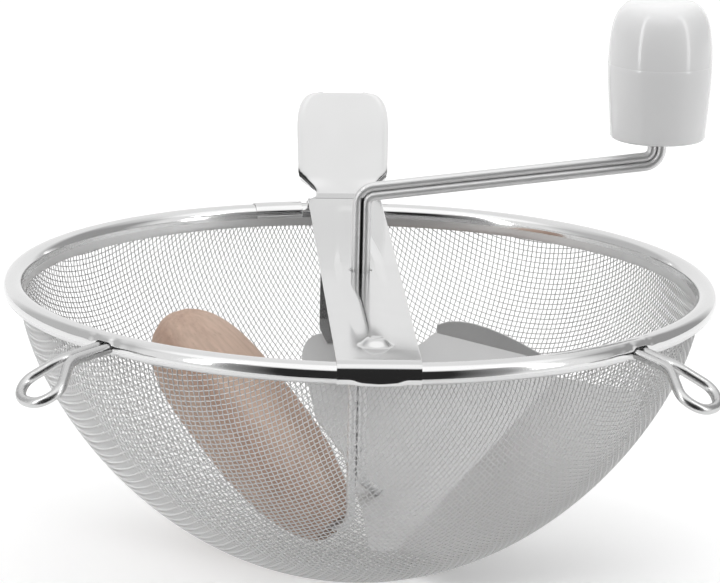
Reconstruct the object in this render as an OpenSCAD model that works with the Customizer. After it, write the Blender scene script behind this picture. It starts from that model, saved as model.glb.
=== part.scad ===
// Hand-cranked food mill: a woven wire bowl in a rolled rim, a clip-on bridge, a doubled-wire
// crank with a free-turning knob, a wooden roller on the crank's leg and a folded scraper blade.
// Millimetres, +Z up. The origin is on the crank's axis, level with the rim of the pot that
// carries the mill. The bridge runs along Y with its thumb tab at +Y, and the crank arm rests
// along +X. The bowl's top is open.

/* [Rim] */
// Outer diameter of the rolled rim
rim_d = 210; // [206:1:214]
// Thickness of the rolled bead
bead_d = 6.1; // [5.8:0.1:6.4]
// Sheet thickness of the bead and its lip
bead_wall = 0.4; // [0.35:0.05:0.45]
// Height of the bead's centre above the pot's rim
bead_z = 6.1; // [5.8:0.1:6.4]
// How far the inner lip reaches below the centre of the bead
lip_drop = 3.6; // [3.4:0.1:3.7]

/* [Bowl] */
// Depth of the bowl below the bead's centre
bowl_depth = 86.6; // [85:0.2:88]
// Thickness of the woven wall
mesh_t = 0.7; // [0.6:0.05:0.75]

/* [Support loops] */
// Wire of the loops
loop_d = 3; // [2.6:0.1:3]
// Angle of each loop from the bridge's front end
loop_angle = 45.8; // [42:0.1:50]
// Length of the left loop's legs from the bead's centre to the eye
left_leg = 17; // [15:0.1:19]
// Slope of the left loop's legs in degrees
left_slope = 4.6; // [2:0.2:7]
// Length of the right loop's legs from the bead's centre to the eye
right_leg = 14; // [12:0.1:16]
// Slope of the right loop's legs in degrees
right_slope = 9.4; // [7:0.2:12]
// Length of a loop's eye
eye_length = 16.6; // [15.6:0.1:17.6]
// Droop of the eye in degrees
eye_droop = 34; // [30:0.5:38]

/* [Bridge] */
// Width of the bridge strip
bridge_w = 23.2; // [22:0.2:24]
// Sheet thickness of the bridge
bridge_t = 0.8; // [0.7:0.1:0.9]
// Width of the thumb tab
tab_w = 29.2; // [27:0.2:31]
// Length of the tab above the return bend
tab_length = 43.4; // [40:0.1:45]
// How far the tab leans back, in degrees
tab_lean = 27; // [15:1:32]
// Radius of the crank's hole
crank_hole_r = 3.45; // [3.3:0.05:3.7]

/* [Crank] */
// Thickness of the crank's wire
crank_d = 2.8; // [2.6:0.1:3]
// Distance from the shaft to the knob's axis
arm_reach = 86.3; // [82:0.1:88]
// Height of the arm's middle line above the pot's rim, at the shaft's axis
arm_z = 34.5; // [32:0.1:37]
// Rise of the arm towards the knob, in degrees
arm_rise = 7; // [4:0.5:9]

/* [Knob] */
// Largest diameter of the knob
knob_d = 30.6; // [29:0.2:32]
// Height of the knob
knob_h = 41; // [38:0.5:43]

/* [Roller] */
// Largest diameter of the wooden roller
roller_d = 32.4; // [31:0.2:32.6]
// Length of the roller
roller_len = 86; // [84:0.5:87]
// Angle of the roller's axle above the level
roller_lean = 39.6; // [38.5:0.1:41]
// Direction in which the axle leaves the shaft, seen from above
roller_turn = 140; // [138:1:142]

/* [Scraper] */
// Sheet thickness of the blade
blade_t = 1; // [0.8:0.1:1]
// Gap between the blade's edge and the bowl's wall
blade_gap = 0.8; // [0.6:0.1:1.5]

/* [Hidden] */
$fn = 72;

steel = "silver";
loop_r = loop_d / 2;
crank_r = crank_d / 2;
bead_r = bead_d / 2;
rim_r = rim_d / 2 - bead_r;           // circle of the bead's centre
lip_r = rim_r - bead_r;             // inner face of the inner lip
mesh_r = rim_r - 2.1;                 // middle of the woven wall at the rim
bowl_z = bead_z - bowl_depth;         // middle of the wall at the bottom
pair = crank_r + 0.05;                // half the distance between the crank's two wires
bend_rise = 0.02;                     // a bend is this much thicker than the wire's straights

// ---- helpers ----
function unit(v) = v / norm(v);
function arc(c, r, a0, a1, n) = [for (i = [0:n]) let (a = a0 + (a1 - a0) * i / n) c + r * [cos(a), sin(a)]];
function bezier(p, n) = [for (i = [0:n]) let (t = i / n)
    pow(1 - t, 3) * p[0] + 3 * t * pow(1 - t, 2) * p[1] + 3 * t * t * (1 - t) * p[2] + t * t * t * p[3]];
function turned(list) = [for (i = [len(list) - 1:-1:0]) list[i]];
function tangent(p, i) = unit(p[min(i + 1, len(p) - 1)] - p[max(i - 1, 0)]);
// A path moved sideways by d, to the left of its direction
function beside(p, d) = [for (i = [0:len(p) - 1]) let (t = tangent(p, i)) p[i] + d * [-t[1], t[0]]];
// The outline of a sheet of thickness t bent along a path
function ribbon(p, t) = concat(beside(p, t / 2), turned(beside(p, -t / 2)));
// A frame at o whose Z runs along w
function frame_z(w, o) = let (u = unit(cross(abs(w[2]) < 0.9 ? [0, 0, 1] : [1, 0, 0], w)), v = cross(w, u))
    [[u[0], v[0], w[0], o[0]], [u[1], v[1], w[1], o[1]], [u[2], v[2], w[2], o[2]], [0, 0, 0, 1]];
function turn_angle(a, b) = acos(a * b);

module rod(a, b, r) {
    multmatrix(frame_z(unit(b - a), a)) cylinder(h = norm(b - a), r = r);
}

// A round bend at corner p, from direction a to direction b
module elbow(p, a, b, bend_r, r) {
    half = turn_angle(a, b) / 2;
    c = p + unit(b - a) * bend_r / cos(half);
    x = unit(p - a * bend_r * tan(half) - c);
    z = cross(x, a);
    multmatrix([[x[0], a[0], z[0], c[0]], [x[1], a[1], z[1], c[1]], [x[2], a[2], z[2], c[2]], [0, 0, 0, 1]])
        rotate_extrude(angle = 2 * half) translate([bend_r, 0]) circle(r = r + bend_rise);
}

// A wire through corner points, with one bend radius for each inner corner. The straights run a
// little way into the bends.
module bent_wire(p, bends, r) {
    lap = 0.2;
    last = len(p) - 1;
    dir = [for (i = [0:last - 1]) unit(p[i + 1] - p[i])];
    cut = [for (i = [0:last]) i == 0 || i == last ? 0
        : bends[i - 1] * tan(turn_angle(dir[i - 1], dir[i]) / 2) - lap];
    for (i = [0:last - 1]) rod(p[i] + dir[i] * cut[i], p[i + 1] - dir[i] * cut[i + 1], r);
    for (i = [1:last - 1]) elbow(p[i], dir[i - 1], dir[i], bends[i - 1], r);
}

// A flat sheet through 3-D points that lie in one plane, given by o, a and b
module flat_sheet(o, a, b, p, t) {
    x = unit(a - o);
    z = unit(cross(a - o, b - o));
    y = cross(z, x);
    multmatrix([[x[0], y[0], z[0], o[0]], [x[1], y[1], z[1], o[1]], [x[2], y[2], z[2], o[2]], [0, 0, 0, 1]])
        translate([0, 0, -t / 2]) linear_extrude(t) polygon([for (q = p) [(q - o) * x, (q - o) * y]]);
}

// ---- bowl ----
// Middle of the wall, from the rim down to the bottom
wall = bezier([[mesh_r, bead_z - 1], [mesh_r, bowl_z + 0.69 * bowl_depth],
               [0.61 * mesh_r, bowl_z], [0, bowl_z]], 36);
wall_top = [mesh_r, bead_z + 0.3];    // the wall's edge stands inside the bead
// The wall's path moved inwards by d, ending on the axis
function wall_inside(d) = let (q = beside(concat([wall_top], wall), d), n = len(q) - 1)
    [for (i = [0:n]) i == n ? [0, q[n][1]] : q[i]];

module mesh_bowl() {
    color("gainsboro") rotate_extrude()
        polygon(concat(wall_inside(-mesh_t / 2), turned(wall_inside(mesh_t / 2))));
}

// Everything inside the bowl that is at least d from the middle of its wall
module bowl_room(d) {
    inner = wall_inside(-d);
    rotate_extrude() polygon(concat(inner, [[0, inner[0][1]]]));
}

// ---- rim ----
// The wall stands in a slot between the inner lip and the bead's rolled edge
slot = mesh_t + 0.42;
module rim_profile() {
    difference() {
        union() {
            translate([rim_r, bead_z]) circle(r = bead_r);
            translate([lip_r + 0.01, bead_z - lip_drop]) square([bead_wall - 0.01, lip_drop]);
        }
        translate([rim_r, bead_z]) circle(r = bead_r - bead_wall);
        translate([mesh_r - slot / 2, bead_z - lip_drop - 1]) square([slot, lip_drop + 2]);
    }
}

module rim_bead() {
    color(steel) difference() {
        rotate_extrude() rim_profile();
        for (turn = [-90 - loop_angle, -90 + loop_angle]) rotate([0, 0, turn]) loop_notch();
    }
}

// The rolled strip's end laps over its start beside the bridge
lap_from = 97.8;
lap_turn = 8.6;
lap_r = bead_r + 0.05;
module bead_lap() {
    color(steel) rotate([0, 0, lap_from]) rotate_extrude(angle = lap_turn) translate([rim_r, bead_z])
        difference() {
            circle(r = lap_r + 0.45);
            circle(r = lap_r);
            translate([-2 * bead_r, -2 * bead_r]) square([2 * bead_r + 0.4, 2 * bead_r - 0.6]);
        }
}

// ---- support loops ----
// Each loop is one wire. Its two ends lie inside the bead, its legs leave through a notch in the
// bead, and its eye droops to hook over a pot's rim.
leg_gap = loop_r + 0.1;               // half the distance between a loop's two legs
leg_z = bead_z - 0.5;
tail = 9.4;                           // length of an end inside the bead
eye_wide_at = 0.635 * eye_length;
eye_half = 7.3;
eye_tip_half = 3.8;

module loop_notch() {
    half = leg_gap + loop_r + 0.4;
    translate([rim_r - 0.4, -half, leg_z - loop_r - 1.4]) cube([bead_r + 2, 2 * half, 2 * loop_r + 2]);
}

module support_loop(turn, leg, slope) {
    leg_dir = [cos(slope), 0, -sin(slope)];
    eye_dir = [cos(eye_droop), 0, -sin(eye_droop)];
    start = [rim_r + 0.05, 0, leg_z];
    neck = start + leg * leg_dir;
    function half_loop(s) = let (y = [0, s, 0])
        [start + (leg_gap + tail) * y, start + leg_gap * y, neck + leg_gap * y,
         neck + eye_wide_at * eye_dir + eye_half * y, neck + eye_length * eye_dir + eye_tip_half * y];
    rotate([0, 0, turn]) color(steel)
        bent_wire(concat(half_loop(1), turned(half_loop(-1))), [1.6, 9, 5.8, 5.8, 5.8, 5.8, 9, 1.6], loop_r);
}

module loop_left() { support_loop(-90 - loop_angle, left_leg, left_slope); }
module loop_right() { support_loop(-90 + loop_angle, right_leg, right_slope); }

// ---- bridge ----
hook_gap = 0.35;                      // running room between the bead and the bridge
hook_r = bead_r + hook_gap + bridge_t / 2;
strip_z = bead_z + hook_r;            // middle of the flat strip
rear_y = rim_r + 0.1;
turn_r = 1.3;                         // return bend below the thumb tab, which rests on the pot's rim
turn_z = turn_r + bridge_t / 2;
snap = 0.3;                           // how far the wrap closes in below the bead
turn_y = rear_y + hook_r - snap + turn_r;
hook_path = arc([-rim_r, bead_z], hook_r, 216, 90, 14);
rear_path = arc([rear_y, bead_z], hook_r, 90, 0, 12);
return_path = arc([turn_y, turn_z], turn_r, 180, 360 - tab_lean, 12);
tab_foot = return_path[12];           // where the tab leaves the return bend
neck_w = 17;
neck_end = 8;                         // measured along the tab from its foot
shoulder_end = 11.3;
// The rib pressed lengthwise in the strip: half widths at its front end, middle and back end
rib = [[4.7, -79], [7.5, -10], [7.5, 10], [3.5, 88]];
rib_h = 0.8;
dome_y = -87;
dome_r = 4.6;
dome_h = 2.6;

// Half of the tab's outline, from the neck to the middle of the top edge
module half_tab() {
    half = tab_w / 2;
    corner = bezier([[half, tab_length - 12], [half, tab_length - 4], [half - 1.6, tab_length],
                     [half - 6.5, tab_length]], 10);
    polygon(concat([[-1, tab_length], [-1, neck_end - 1], [neck_w / 2, neck_end - 1],
                    [neck_w / 2, shoulder_end - 1], [half - 1.2, shoulder_end + 3],
                    [half - 0.4, shoulder_end + 5]], corner));
}

module tab() {
    translate([0, tab_foot[0], tab_foot[1]]) rotate([90 - tab_lean, 0, 0])
        translate([0, 0, -bridge_t / 2]) linear_extrude(bridge_t) {
            half_tab();
            mirror([1, 0]) half_tab();
        }
}

module bridge() {
    side_path = concat(hook_path, rear_path, return_path,
                       [tab_foot + neck_end * [sin(tab_lean), cos(tab_lean)]]);
    color("lightgray") difference() {
        union() {
            rotate([90, 0, 90]) translate([0, 0, -bridge_w / 2]) linear_extrude(bridge_w)
                polygon(ribbon(side_path, bridge_t));
            translate([0, 0, strip_z]) linear_extrude(bridge_t / 2 + rib_h)
                polygon(concat([for (q = rib) q], [for (q = turned(rib)) [-q[0], q[1]]]));
            // a ball cap as wide as dome_r that stands dome_h above the strip
            translate([0, dome_y, strip_z]) rotate_extrude()
                polygon([[0, 0], [dome_r, 0], [dome_r, bridge_t / 2],
                         for (a = [10:10:80]) [dome_r * cos(a), bridge_t / 2 + dome_h * sin(a)],
                         [0, bridge_t / 2 + dome_h]]);
            tab();
        }
        translate([0, 0, strip_z - 2]) cylinder(h = 6, r = crank_hole_r);
    }
}

// ---- crank ----
// The roller's leg leaves the shaft at leg_corner and runs along the roller's axle
axle = [cos(roller_turn) * cos(roller_lean), sin(roller_turn) * cos(roller_lean), sin(roller_lean)];
leg_bend = 5.5;
leg_corner = [-pair, 0, -74.7];
leg_reach = leg_bend * tan(turn_angle([0, 0, -1], axle) / 2);
roller_foot = leg_corner + axle * (leg_reach - 5.24);
// The second wire's foot pins the scraper
foot_corner = [pair, 0, -52.8];
foot_dir = unit([6.9, 11.9, -8.2]);
foot_len = 16;
arm_dir = [cos(arm_rise), 0, sin(arm_rise)];
knob_bottom = 51.9;
hairpin_top = knob_bottom + 30;
outer_bend = 5.5;
inner_bend = outer_bend - 2 * pair;

// Corners of a wire that runs beside the crank's middle line, on side s
function arm_start(s) = let (n = [-1, 0, 0] + [-arm_dir[2], 0, arm_dir[0]], k = 1 + arm_dir[2])
    [0, 0, arm_z] + s * pair * n / k;
function arm_end(s) = let (n = [-1, 0, 0] + [-arm_dir[2], 0, arm_dir[0]], k = 1 + arm_dir[2])
    [arm_reach, 0, arm_z + arm_reach * tan(arm_rise)] + s * pair * n / k;

module crank_wire() {
    color(steel) {
        bent_wire([leg_corner + axle * (leg_reach + 65), leg_corner, arm_start(1), arm_end(1),
                   [arm_reach - pair, 0, hairpin_top + 0.1]], [leg_bend, outer_bend, inner_bend], crank_r);
        bent_wire([foot_corner + foot_dir * foot_len, foot_corner, arm_start(-1), arm_end(-1),
                   [arm_reach + pair, 0, hairpin_top + 0.1]], [3, inner_bend, outer_bend], crank_r);
        translate([arm_reach, 0, hairpin_top]) rotate([90, 0, 0]) rotate_extrude(angle = 180)
            translate([pair, 0]) circle(r = crank_r + bend_rise);
    }
}

module knob() {
    r = knob_d / 2;
    side = concat([[0, 0], [0.86 * r, 0]], arc([0.86 * r, 0.8], 0.8, -90, -10, 4),
                  bezier([[0.92 * r, 4], [0.96 * r, 0.25 * knob_h], [r, 0.4 * knob_h], [r, 0.49 * knob_h]], 8),
                  bezier([[r, 0.5 * knob_h], [0.98 * r, 0.72 * knob_h], [0.93 * r, 0.98 * knob_h],
                          [0.5 * r, 0.99 * knob_h]], 12), [[0.25 * r, knob_h], [0, knob_h]]);
    color("white") translate([arm_reach, 0, knob_bottom]) difference() {
        rotate_extrude() polygon(side);
        translate([0, 0, -1]) cylinder(h = hairpin_top - knob_bottom + 5.2, r = pair + crank_r + 0.06);
    }
}

// ---- roller ----
// Half width of the barrel at s from its lower end: blunter at the top than at the bottom
roller_mid = 0.53 * roller_len;
function barrel(s) = let (low = s < roller_mid, h = low ? roller_mid : roller_len - roller_mid,
                          e = low ? 2.5 : 3.4)
    roller_d / 2 * sqrt(1 - pow(0.985 * abs(s - roller_mid) / h, e));

module roller() {
    steps = 40;
    recess_r = 5.8;
    color("burlywood") multmatrix(frame_z(axle, roller_foot)) difference() {
        rotate_extrude() polygon(concat([[0, 0]], [for (i = [0:steps]) let (s = roller_len * i / steps)
            [barrel(s), s]], [[0, roller_len]]));
        translate([0, 0, -1]) cylinder(h = 76, r = crank_r + 0.06);
        translate([0, 0, -1]) cylinder(h = 8, r = recess_r);
    }
}

// ---- scraper ----
// The main plate leans back from the shaft: its middle plane is y = plate_y + plate_lean * z
plate_lean = 0.7;
plate_y = 52.1;
function on_plate(q) = [q[0], plate_y + plate_lean * q[1], q[1]];
// Corners in X and Z: the two ends of the flange's fold, and the two ends of the wing's fold
flange_a = [26, -17.7];
flange_b = [61.9, -25.4];
wing_a = [62.4, -29.4];
wing_b = [12.8, -75];
wing_tip = [90, 5, -28];
fold_r = blade_t / 2 + 0.05;            // outer radius of the blade's folds

// The round of a fold between two corners, a little short of both
module fold(p, q) {
    rod(p + 0.4 * unit(q - p), q + 0.4 * unit(p - q), fold_r);
}

module scraper() {
    outline = concat(arc([-9.3, -24.3], 6, 180, 90, 6), arc([13.6, -6.9], 15.7, 228, 313, 8),
                     [flange_a, flange_b, wing_a, wing_b, [4.7, -75.3], [2.4, -64], [-3.2, -50], [-11.3, -40.5]]);
    a = on_plate(wing_a);
    b = on_plate(wing_b);
    f = on_plate(flange_a);
    g = on_plate(flange_b);
    free_edge = bezier([f + [0, 0, 2.6], f + [8, -1.2, 6.8], f + [22, -3.3, 0.6], g], 8);
    color("darkgray") difference() {
        intersection() {
            union() {
                flat_sheet(a, b, f, [for (q = outline) on_plate(q)], blade_t);
                flat_sheet(f, g, f + [0, 0, 5], concat([f], free_edge), blade_t);
                flat_sheet(a, b, wing_tip, [a, a + 1.3 * (wing_tip - a),
                    a + 1.3 * (wing_tip - a) + (b - a), b], blade_t);
                fold(a, b);
                fold(f, g);
            }
            bowl_room(mesh_t / 2 + blade_gap);
        }
        multmatrix(frame_z(foot_dir, foot_corner)) cylinder(h = 20, r = crank_r + 0.1);
    }
}

// The strap that carries the blade: a plate round the shaft under the bridge, a leg that hangs
// down behind it, and a foot that lies on the blade's main plate
strap_t = 0.9;
strap_left = -9.9;
strap_right = 2.1;
hub_z = 7;
strap_knee = -14.5;                   // where the leg turns onto the blade
strap_foot = -20.8;
module hub_strap() {
    sit = (blade_t + strap_t) / 2 * unit([-1, plate_lean]);
    foot = [for (z = [strap_knee, strap_foot]) [plate_y + plate_lean * z, z] + sit];
    leg_y = foot[0][0];
    side = concat([[4, hub_z]], arc([leg_y - 2, hub_z - 2], 2, 90, 0, 5), foot);
    color(steel) difference() {
        union() {
            rotate([90, 0, 90]) translate([0, 0, strap_left]) linear_extrude(strap_right - strap_left)
                polygon(ribbon(side, strap_t));
            translate([strap_left, -4.5, hub_z - strap_t / 2])
                cube([5.2 - strap_left, 11, strap_t]);
        }
        for (s = [-1, 1]) translate([s * pair, 0, hub_z - 2]) cylinder(h = 4, r = crank_r + 0.06);
        // the foot's lower left corner is cut off
        translate([strap_left, leg_y, strap_knee - 2]) rotate([0, 60, 0])
            translate([0, -15, -10]) cube([20, 30, 10]);
    }
}

mesh_bowl();
rim_bead();
bead_lap();
loop_left();
loop_right();
bridge();
crank_wire();
hub_strap();
scraper();
roller();
knob();
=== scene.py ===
# %% [markdown]
# # A hand-cranked food mill
# Fruit is put in a woven wire bowl, and a crank drives a wooden roller and a folded scraper
# round inside it. The bowl hangs in a rolled steel rim that two wire loops and a clip-on bridge
# carry on a pot. Each step below makes one piece of it, or one finish, in metres.

# %% Start
import math
import bpy
import numpy as np
from mathutils import Matrix, Vector


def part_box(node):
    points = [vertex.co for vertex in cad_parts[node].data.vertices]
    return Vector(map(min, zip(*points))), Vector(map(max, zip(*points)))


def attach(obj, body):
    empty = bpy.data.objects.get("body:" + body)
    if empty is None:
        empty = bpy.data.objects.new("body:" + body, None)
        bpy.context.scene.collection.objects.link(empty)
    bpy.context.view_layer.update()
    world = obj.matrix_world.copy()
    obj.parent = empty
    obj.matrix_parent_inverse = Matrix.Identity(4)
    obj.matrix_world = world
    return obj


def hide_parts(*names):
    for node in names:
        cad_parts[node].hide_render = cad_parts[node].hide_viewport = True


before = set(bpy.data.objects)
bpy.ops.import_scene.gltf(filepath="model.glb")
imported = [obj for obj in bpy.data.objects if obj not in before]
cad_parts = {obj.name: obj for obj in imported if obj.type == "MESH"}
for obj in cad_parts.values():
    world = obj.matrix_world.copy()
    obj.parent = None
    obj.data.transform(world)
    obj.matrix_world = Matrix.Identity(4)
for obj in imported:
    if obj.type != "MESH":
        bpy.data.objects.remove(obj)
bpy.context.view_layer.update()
print("solids:", sorted(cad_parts))

# %% [markdown]
# ## Camera
# A long lens from a little above the rim shows the bowl almost without perspective. The camera's
# matrix is written as its three directions, which fixes turn, tilt and a slight roll at once.
# Turn angles would do as well, but three directions are easier to check: each is one unit long,
# and they stand square to each other.

# %% Camera
camera_place = (-0.06734, -1.22369, 0.29874)
camera_right = (0.99852, -0.04965, 0.02206)
camera_up = (-0.00983, 0.23419, 0.97214)
camera_ahead = (0.05343, 0.97092, -0.23336)
camera_lens = 213.735

def add_camera(place, right, up, ahead, lens):
    data = bpy.data.cameras.new("camera")
    data.lens = lens
    data.sensor_width = 36
    data.clip_start = 0.05
    camera = bpy.data.objects.new("camera", data)
    columns = [Vector(right), Vector(up), -Vector(ahead)]
    camera.matrix_world = Matrix.Translation(Vector(place)) @ Matrix(columns).transposed().to_4x4()
    bpy.context.scene.collection.objects.link(camera)
    bpy.context.scene.camera = camera
    return camera

camera = add_camera(camera_place, camera_right, camera_up, camera_ahead, camera_lens)
print("camera is", round(camera.location.length, 3), "m from the middle of the rim")

# %% [markdown]
# ## Studio
# Polished steel shows its surroundings, so the surroundings are part of its finish. Bright steel
# looks bright and crisp in a white tent that is open at the front, where the room is dark. Real
# cloth could be built round the object, but it would hide the object from other sides. So the
# tent is painted into the world by direction: white all round, a dark opening in front, a bright
# hem on both sides of the opening, a brighter roof above it and greyer flanks.

# %% Node helpers
def node(tree, kind, **settings):
    n = tree.nodes.new(kind)
    for name, value in settings.items():
        setattr(n, name, value)
    return n

def math_node(tree, operation, a, b=None, clamp=False):
    n = node(tree, "ShaderNodeMath", operation=operation, use_clamp=clamp)
    for socket, value in zip(n.inputs, (a, b)):
        if hasattr(value, "is_output"):
            tree.links.new(value, socket)
        elif value is not None:
            socket.default_value = value
    return n.outputs[0]

def window(tree, value, middle, half, soft):
    """1 where value is within half of middle, falling to 0 over soft."""
    away = math_node(tree, "ABSOLUTE", math_node(tree, "SUBTRACT", value, middle))
    return math_node(tree, "DIVIDE", math_node(tree, "SUBTRACT", half + soft, away), soft, clamp=True)

print("node helpers are ready in Blender", bpy.app.version_string)

# %% Tent
degrees = 57.3
# Each patch: its light, then middle, half width and soft edge in degrees, first of turn, then of rise.
tent_patches = {
    "opening": (-0.60, (0, 45, 9), (-14, 45, 5)),
    "core of the opening": (-0.37, (-1, 28, 18), (-14, 45, 5)),
    "left flank": (-0.37, (-112, 22, 16), (0, 36, 20)),
    "right flank": (-0.60, (112, 22, 16), (0, 36, 20)),
    "left hem": (5.5, (-54, 2.5, 1.5), (24, 30, 4)),
    "right hem": (3.6, (58, 4.0, 1.5), (24, 30, 4)),
}
roof_light = 0.35

def paint(tree, light, amount, across, upright):
    """Adds an amount of light where two windows cross, or takes it away."""
    patch = math_node(tree, "MULTIPLY", across, upright)
    return math_node(tree, "ADD", light, math_node(tree, "MULTIPLY", patch, amount))

def tent_light(tree, x, y, z):
    """How bright the tent is towards x, y, z. Plain cloth is 1, turn is 0 in front."""
    turn = math_node(tree, "ARCTAN2", x, math_node(tree, "MULTIPLY", y, -1))
    turn = math_node(tree, "MULTIPLY", turn, degrees)
    rise = math_node(tree, "MULTIPLY", math_node(tree, "ARCSINE", z), degrees)
    light = 1.0
    for amount, across, upright in tent_patches.values():
        light = paint(tree, light, amount, window(tree, turn, *across), window(tree, rise, *upright))
    front = window(tree, y, -1, 0.95, 0.2)
    return paint(tree, light, roof_light, front, window(tree, rise, 80, 34, 8))

print("painted on the tent:", ", ".join(tent_patches), "and roof")

# %% [markdown]
# Not every ray should find the same thing. A ray that goes straight to the camera finds plain
# white, so the background is clean from any side. A ray that leaves polished steel finds the
# painted tent at full strength. What lights the object finds it a little dimmer, so that pale
# pieces don't burn out.

# %% World
tent_level = 0.8

def make_world():
    world = bpy.data.worlds.new("tent")
    bpy.context.scene.world = world
    world.use_nodes = True
    tree = world.node_tree
    tree.nodes.clear()
    way = node(tree, "ShaderNodeTexCoord").outputs["Generated"]
    parts = node(tree, "ShaderNodeSeparateXYZ")
    tree.links.new(way, parts.inputs[0])
    light = tent_light(tree, *parts.outputs)
    path = node(tree, "ShaderNodeLightPath")
    seen = math_node(tree, "MAXIMUM", path.outputs["Is Camera Ray"], path.outputs["Is Transmission Ray"])
    shown = math_node(tree, "MAXIMUM", seen, path.outputs["Is Glossy Ray"])
    lit = math_node(tree, "MAXIMUM", shown, tent_level)
    painted = math_node(tree, "MULTIPLY", light, math_node(tree, "SUBTRACT", 1.0, seen))
    level = math_node(tree, "ADD", math_node(tree, "MULTIPLY", painted, lit), seen)
    back = node(tree, "ShaderNodeBackground")
    back.inputs["Color"].default_value = (1, 1, 1, 1)
    tree.links.new(level, back.inputs["Strength"])
    out = node(tree, "ShaderNodeOutputWorld")
    tree.links.new(back.outputs[0], out.inputs[0])
    return world

make_world()
scene = bpy.context.scene
scene.view_settings.view_transform = "Standard"
print("view transform:", scene.view_settings.view_transform)

# %% [markdown]
# The floor only has to catch the soft shadow. It is pale, and it glows a little towards the
# camera and the polished pieces, so that it meets the white background without an edge. Behind
# the object it runs far back. In front it ends just outside the view, so that the polished rim
# mirrors the dark opening there and not the floor.

# %% Floor
def mesh_object(name, points, faces):
    """A smooth mesh from points in millimetres."""
    data = bpy.data.meshes.new(name)
    data.from_pydata((np.asarray(points, float) / 1000).tolist(), [], [list(map(int, f)) for f in faces])
    data.validate()
    data.polygons.foreach_set("use_smooth", [True] * len(data.polygons))
    thing = bpy.data.objects.new(name, data)
    bpy.context.scene.collection.objects.link(thing)
    return thing

def new_finish(name):
    """A material, its node tree and its surface."""
    matter = bpy.data.materials.new(name)
    matter.use_nodes = True
    return matter, matter.node_tree, matter.node_tree.nodes["Principled BSDF"]

floor_front = -168
floor_reach = 3000
floor_glow = 0.22

def make_floor(height):
    corners = [(-floor_reach, floor_front), (floor_reach, floor_front),
               (floor_reach, floor_reach), (-floor_reach, floor_reach)]
    floor = mesh_object("floor", [[x, y, height] for x, y in corners], [[0, 1, 2, 3]])
    matter, tree, skin = new_finish("pale_floor")
    skin.inputs["Base Color"].default_value = (0.9, 0.9, 0.9, 1)
    skin.inputs["Roughness"].default_value = 0.9
    skin.inputs["Emission Color"].default_value = (1, 1, 1, 1)
    path = node(tree, "ShaderNodeLightPath")
    seen = math_node(tree, "MAXIMUM", path.outputs["Is Camera Ray"], path.outputs["Is Glossy Ray"])
    seen = math_node(tree, "MAXIMUM", seen, path.outputs["Is Transmission Ray"])
    glow = math_node(tree, "MULTIPLY", seen, floor_glow)
    tree.links.new(glow, skin.inputs["Emission Strength"])
    floor.data.materials.append(matter)
    return floor

bowl_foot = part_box("mesh_bowl")[0][2] * 1000
floor = make_floor(bowl_foot - 0.2)
print("floor at", round(floor.data.vertices[0].co.z * 1000, 1), "mm")

# %% [markdown]
# Two large soft lamps, one above and one in front, add a little light to the matt pieces. They
# are hidden from polished surfaces, which already show the tent.

# %% Lamps
def add_lamp(name, place, target, size, power):
    data = bpy.data.lights.new(name, "AREA")
    data.shape = "RECTANGLE"
    data.size, data.size_y = size
    data.energy = power
    lamp = bpy.data.objects.new(name, data)
    lamp.location = place
    lamp.rotation_euler = (Vector(target) - Vector(place)).to_track_quat("-Z", "Y").to_euler()
    lamp.visible_glossy = False
    bpy.context.scene.collection.objects.link(lamp)
    return lamp

add_lamp("top_box", (0.1, 0.1, 1.6), (0, 0, 0), (1.2, 0.9), 5)
add_lamp("front_fill", (-0.3, -1.9, 1.0), (0, 0, 0), (1.6, 1.0), 3)

# %% [markdown]
# ## Finishes
# Every metal here is bare steel, and what tells the pieces apart is how it was worked: rolled
# and polished sheet, drawn wire, and a satin blade. A picture of brushed steel would need to be
# unwrapped onto each piece. Noise needs no unwrapping, because it fills space. So each finish
# starts from the same metal, and noise varies its colour, its roughness and its surface at that
# finish's own scale. A stretch makes the marks long in one direction, as a belt leaves them.

# %% Finish helpers
def sized(tree, place, scale):
    """A place multiplied by a scale in each direction."""
    size = node(tree, "ShaderNodeMapping")
    size.inputs["Scale"].default_value = scale
    tree.links.new(place, size.inputs["Vector"])
    return size.outputs[0]

def noise(tree, place, scale, detail=2.0, twist=0.0):
    """Soft noise between 0 and 1 that fills space."""
    cloud = node(tree, "ShaderNodeTexNoise")
    cloud.inputs["Scale"].default_value = scale
    cloud.inputs["Detail"].default_value = detail
    cloud.inputs["Distortion"].default_value = twist
    tree.links.new(place, cloud.inputs["Vector"])
    return cloud.outputs["Fac"]

def spread_over(tree, value, low, high, start=0.0, stop=1.0):
    """A value between start and stop, spread over low to high."""
    reach = node(tree, "ShaderNodeMapRange")
    reach.inputs["From Min"].default_value = start
    reach.inputs["From Max"].default_value = stop
    reach.inputs["To Min"].default_value = low
    reach.inputs["To Max"].default_value = high
    tree.links.new(value, reach.inputs["Value"])
    return reach.outputs[0]

def tint(tree, value, colour_a, colour_b):
    """A colour between two colours."""
    mix = node(tree, "ShaderNodeMix", data_type="RGBA")
    mix.inputs["A"].default_value = (*colour_a, 1)
    mix.inputs["B"].default_value = (*colour_b, 1)
    tree.links.new(value, mix.inputs["Factor"])
    return mix.outputs["Result"]

def emboss(tree, skin, height, strength, depth):
    """Relief too fine for geometry. depth is in metres."""
    relief = node(tree, "ShaderNodeBump")
    relief.inputs["Strength"].default_value = strength
    relief.inputs["Distance"].default_value = depth
    tree.links.new(height, relief.inputs["Height"])
    tree.links.new(relief.outputs[0], skin.inputs["Normal"])

print("finishes before the steels:", [m.name for m in bpy.data.materials])

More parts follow.
